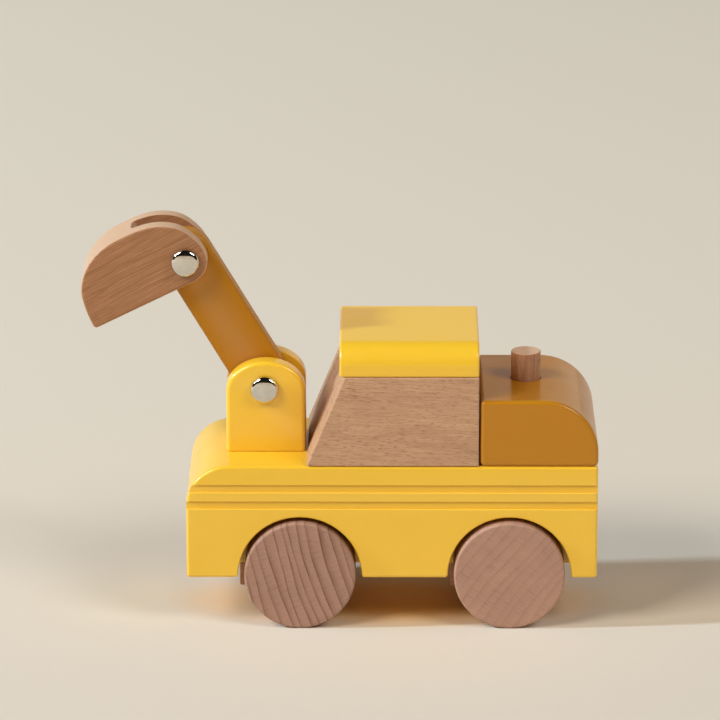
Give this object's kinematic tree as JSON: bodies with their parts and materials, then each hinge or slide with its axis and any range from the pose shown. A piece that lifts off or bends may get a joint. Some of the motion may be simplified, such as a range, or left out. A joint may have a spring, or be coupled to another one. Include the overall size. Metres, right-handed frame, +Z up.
{
  "type": "toy excavator",
  "caption": "Wooden toy excavator: painted blocks and a bare wood cab on rolling wooden wheels, with a boom and a bucket that swing on steel rivets.",
  "frame": {"origin": "on the ground, at the centre of the whole object's box seen from above, with the boom at rest", "axes": "+Z up; the excavator faces -X, where the bucket reaches out, and the engine block is at +X; +Y is across, along the wheel axles"},
  "size_m": [0.2082, 0.069, 0.1632],
  "materials": {
    "yellow_paint": "beech under warm yellow satin paint",
    "ochre_paint": "beech under brown-ochre satin-gloss paint",
    "beech": "bare beech, sanded, with fine flecks",
    "wheel_beech": "bare beech, turned, end grain on the faces",
    "dowel_beech": "bare beech, raw",
    "polished_steel": "nickel-plated, polished"
  },
  "bodies": {
    "body": {"chassis": "yellow_paint", "cab": "beech", "roof": "yellow_paint", "engine_block": "ochre_paint", "exhaust_peg": "beech", "boom_bracket": "yellow_paint", "boom_pin": "polished_steel", "boom_pin_cap": "polished_steel", "front_axle_block": "dowel_beech", "rear_axle_block": "dowel_beech", "front_block_outer_screw": "polished_steel", "front_block_inner_screw": "polished_steel", "rear_block_inner_screw": "polished_steel", "rear_block_outer_screw": "polished_steel", "cab_front_dowel": "dowel_beech", "cab_rear_dowel": "dowel_beech", "roof_front_dowel": "dowel_beech", "roof_rear_dowel": "dowel_beech", "engine_front_dowel": "dowel_beech", "engine_rear_dowel": "dowel_beech", "bracket_front_left_dowel": "dowel_beech", "bracket_front_right_dowel": "dowel_beech", "bracket_rear_left_dowel": "dowel_beech", "bracket_rear_right_dowel": "dowel_beech"},
    "boom": {"boom": "ochre_paint"},
    "bucket": {"bucket": "beech", "bucket_pin": "polished_steel", "bucket_pin_cap": "polished_steel"},
    "front_wheels": {"front_axle": "dowel_beech", "front_left_wheel": "wheel_beech", "front_right_wheel": "wheel_beech"},
    "rear_wheels": {"rear_axle": "dowel_beech", "rear_left_wheel": "wheel_beech", "rear_right_wheel": "wheel_beech"}
  },
  "joints": [
    {"name": "boom_swing", "type": "hinge", "parent": "body", "child": "boom", "pos_m": [-0.03037, 0, 0.0951], "axis": [0, 1, 0], "range_deg": [-65, 33]},
    {"name": "bucket_swing", "type": "hinge", "parent": "boom", "child": "bucket", "pos_m": [-0.06201, 0, 0.14818], "axis": [0, 1, 0], "range_deg": [-20, 180]},
    {"name": "front_wheels_roll", "type": "hinge", "parent": "body", "child": "front_wheels", "pos_m": [-0.01607, 0, 0.0225], "axis": [0, 1, 0], "continuous": true},
    {"name": "rear_wheels_roll", "type": "hinge", "parent": "body", "child": "rear_wheels", "pos_m": [0.06873, 0, 0.0225], "axis": [0, 1, 0], "continuous": true}
  ]
}
